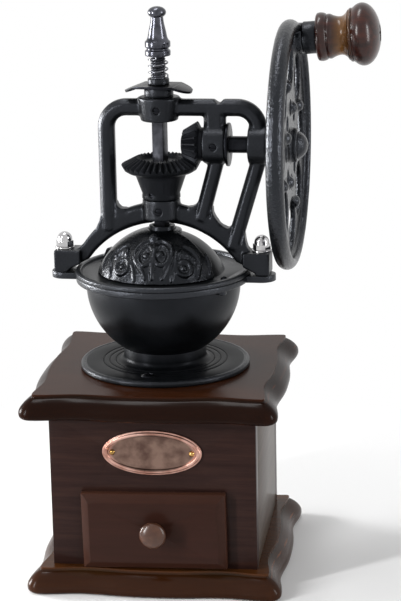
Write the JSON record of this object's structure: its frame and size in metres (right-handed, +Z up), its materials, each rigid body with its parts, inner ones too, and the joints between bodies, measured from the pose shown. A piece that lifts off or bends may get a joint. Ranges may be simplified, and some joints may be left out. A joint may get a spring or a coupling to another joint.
{
  "type": "manual coffee grinder",
  "caption": "Hand-cranked coffee grinder: spoked hand wheel and bevel gears over an iron bowl with a turning lid, on a wooden box with a drawer.",
  "frame": {"origin": "centre of the base plate's underside, straight below the spindle", "axes": "+Z up, +X towards the hand wheel, -Y towards the drawer's front"},
  "size_m": [0.186, 0.143, 0.3061],
  "materials": {
    "walnut_boards": "dark walnut, varnished, glossy",
    "mahogany_moulding": "dark mahogany moulding, rubbed at its edges",
    "drawer_panel_wood": "dark mahogany, varnished",
    "plain_wood": "bare pale wood inside the case",
    "drawer_knob_wood": "turned, reddish brown, satin varnish",
    "handle_wood": "turned, deep red-brown, high gloss",
    "black_iron": "black japanned cast iron, satin",
    "gear_iron": "dark cast iron, greased",
    "burr_iron": "bare grey iron",
    "dark_steel": "darkened steel",
    "bright_steel": "plain drawn steel",
    "plated_steel": "bright plating",
    "copper_plate": "copper-coloured pressed plate with dark patina",
    "brass_pin": "polished brass"
  },
  "bodies": {
    "case": {"base_plate": "mahogany_moulding", "front_board": "walnut_boards", "back_board": "walnut_boards", "left_board": "walnut_boards", "right_board": "walnut_boards", "top_plate": "mahogany_moulding", "drawer_guides": "plain_wood", "base_screws": "bright_steel", "oval_plate": "copper_plate", "oval_plate_pins": "brass_pin", "bowl": "black_iron", "foot_screws": "dark_steel", "outer_burr": "burr_iron", "dome": "black_iron", "dome_screws": "dark_steel", "bridge": "black_iron", "ear_bolts": "dark_steel", "ear_washers": "plated_steel", "acorn_nuts": "plated_steel", "collar_screws": "dark_steel"},
    "drawer": {"drawer_front": "drawer_panel_wood", "drawer_left_side": "plain_wood", "drawer_right_side": "plain_wood", "drawer_back": "plain_wood", "drawer_floor": "plain_wood", "drawer_knob": "drawer_knob_wood", "drawer_knob_screw": "bright_steel"},
    "lid": {"turning_lid": "black_iron"},
    "crank": {"drive_shaft": "dark_steel", "pinion": "gear_iron", "pinion_pin": "bright_steel", "thrust_washer": "dark_steel", "hand_wheel": "black_iron", "wheel_nut": "dark_steel", "handle_bolt": "dark_steel", "handle_spacer": "black_iron"},
    "handle": {"handle_knob": "handle_wood"},
    "gear": {"bevel_gear": "gear_iron", "gear_screw": "dark_steel"},
    "spindle": {"spindle": "bright_steel", "inner_burr": "burr_iron", "burr_nut": "bright_steel", "finial": "plated_steel", "spring": "bright_steel"},
    "adjuster": {"adjusting_nut": "black_iron"},
    "lock": {"lock_plate": "dark_steel", "spring_seat": "black_iron"}
  },
  "joints": [
    {"name": "drawer_slide", "type": "slide", "parent": "case", "child": "drawer", "axis": [0, -1, 0], "range_m": [0, 0.08]},
    {"name": "lid_turn", "type": "hinge", "parent": "case", "child": "lid", "pos_m": [0, 0, 0.17], "axis": [0, 0, 1], "range_deg": [-140, 0]},
    {"name": "crank_turn", "type": "hinge", "parent": "case", "child": "crank", "pos_m": [0, 0, 0.2327], "axis": [0.9995, -0.0314, 0], "continuous": true},
    {"name": "handle_turn", "type": "hinge", "parent": "crank", "child": "handle", "pos_m": [0.07469, 0.01767, 0.2865], "axis": [0.9973, -0.0313, 0.0663], "continuous": true},
    {"name": "gear_turn", "type": "hinge", "parent": "case", "child": "gear", "pos_m": [0, 0, 0.2327], "axis": [0, 0, 1], "continuous": true},
    {"name": "adjuster_turn", "type": "hinge", "parent": "gear", "child": "adjuster", "pos_m": [0, 0, 0.26], "axis": [0, 0, 1], "range_deg": [-120, 360]},
    {"name": "spindle_lift", "type": "slide", "parent": "gear", "child": "spindle", "axis": [0, 0, 1], "range_m": [-0.001, 0.00033]},
    {"name": "lock_lift", "type": "slide", "parent": "gear", "child": "lock", "axis": [0, 0, 1], "range_m": [0, 0.0025], "stiffness_N_per_m": 300, "springref_m": -0.005, "deforming": ["spring"]}
  ],
  "couplings": [
    {"joint": "gear_turn", "follows": "crank_turn", "ratio": 0.55556},
    {"joint": "adjuster_turn", "follows": "spindle_lift", "rad_per_m": -6283.2}
  ]
}
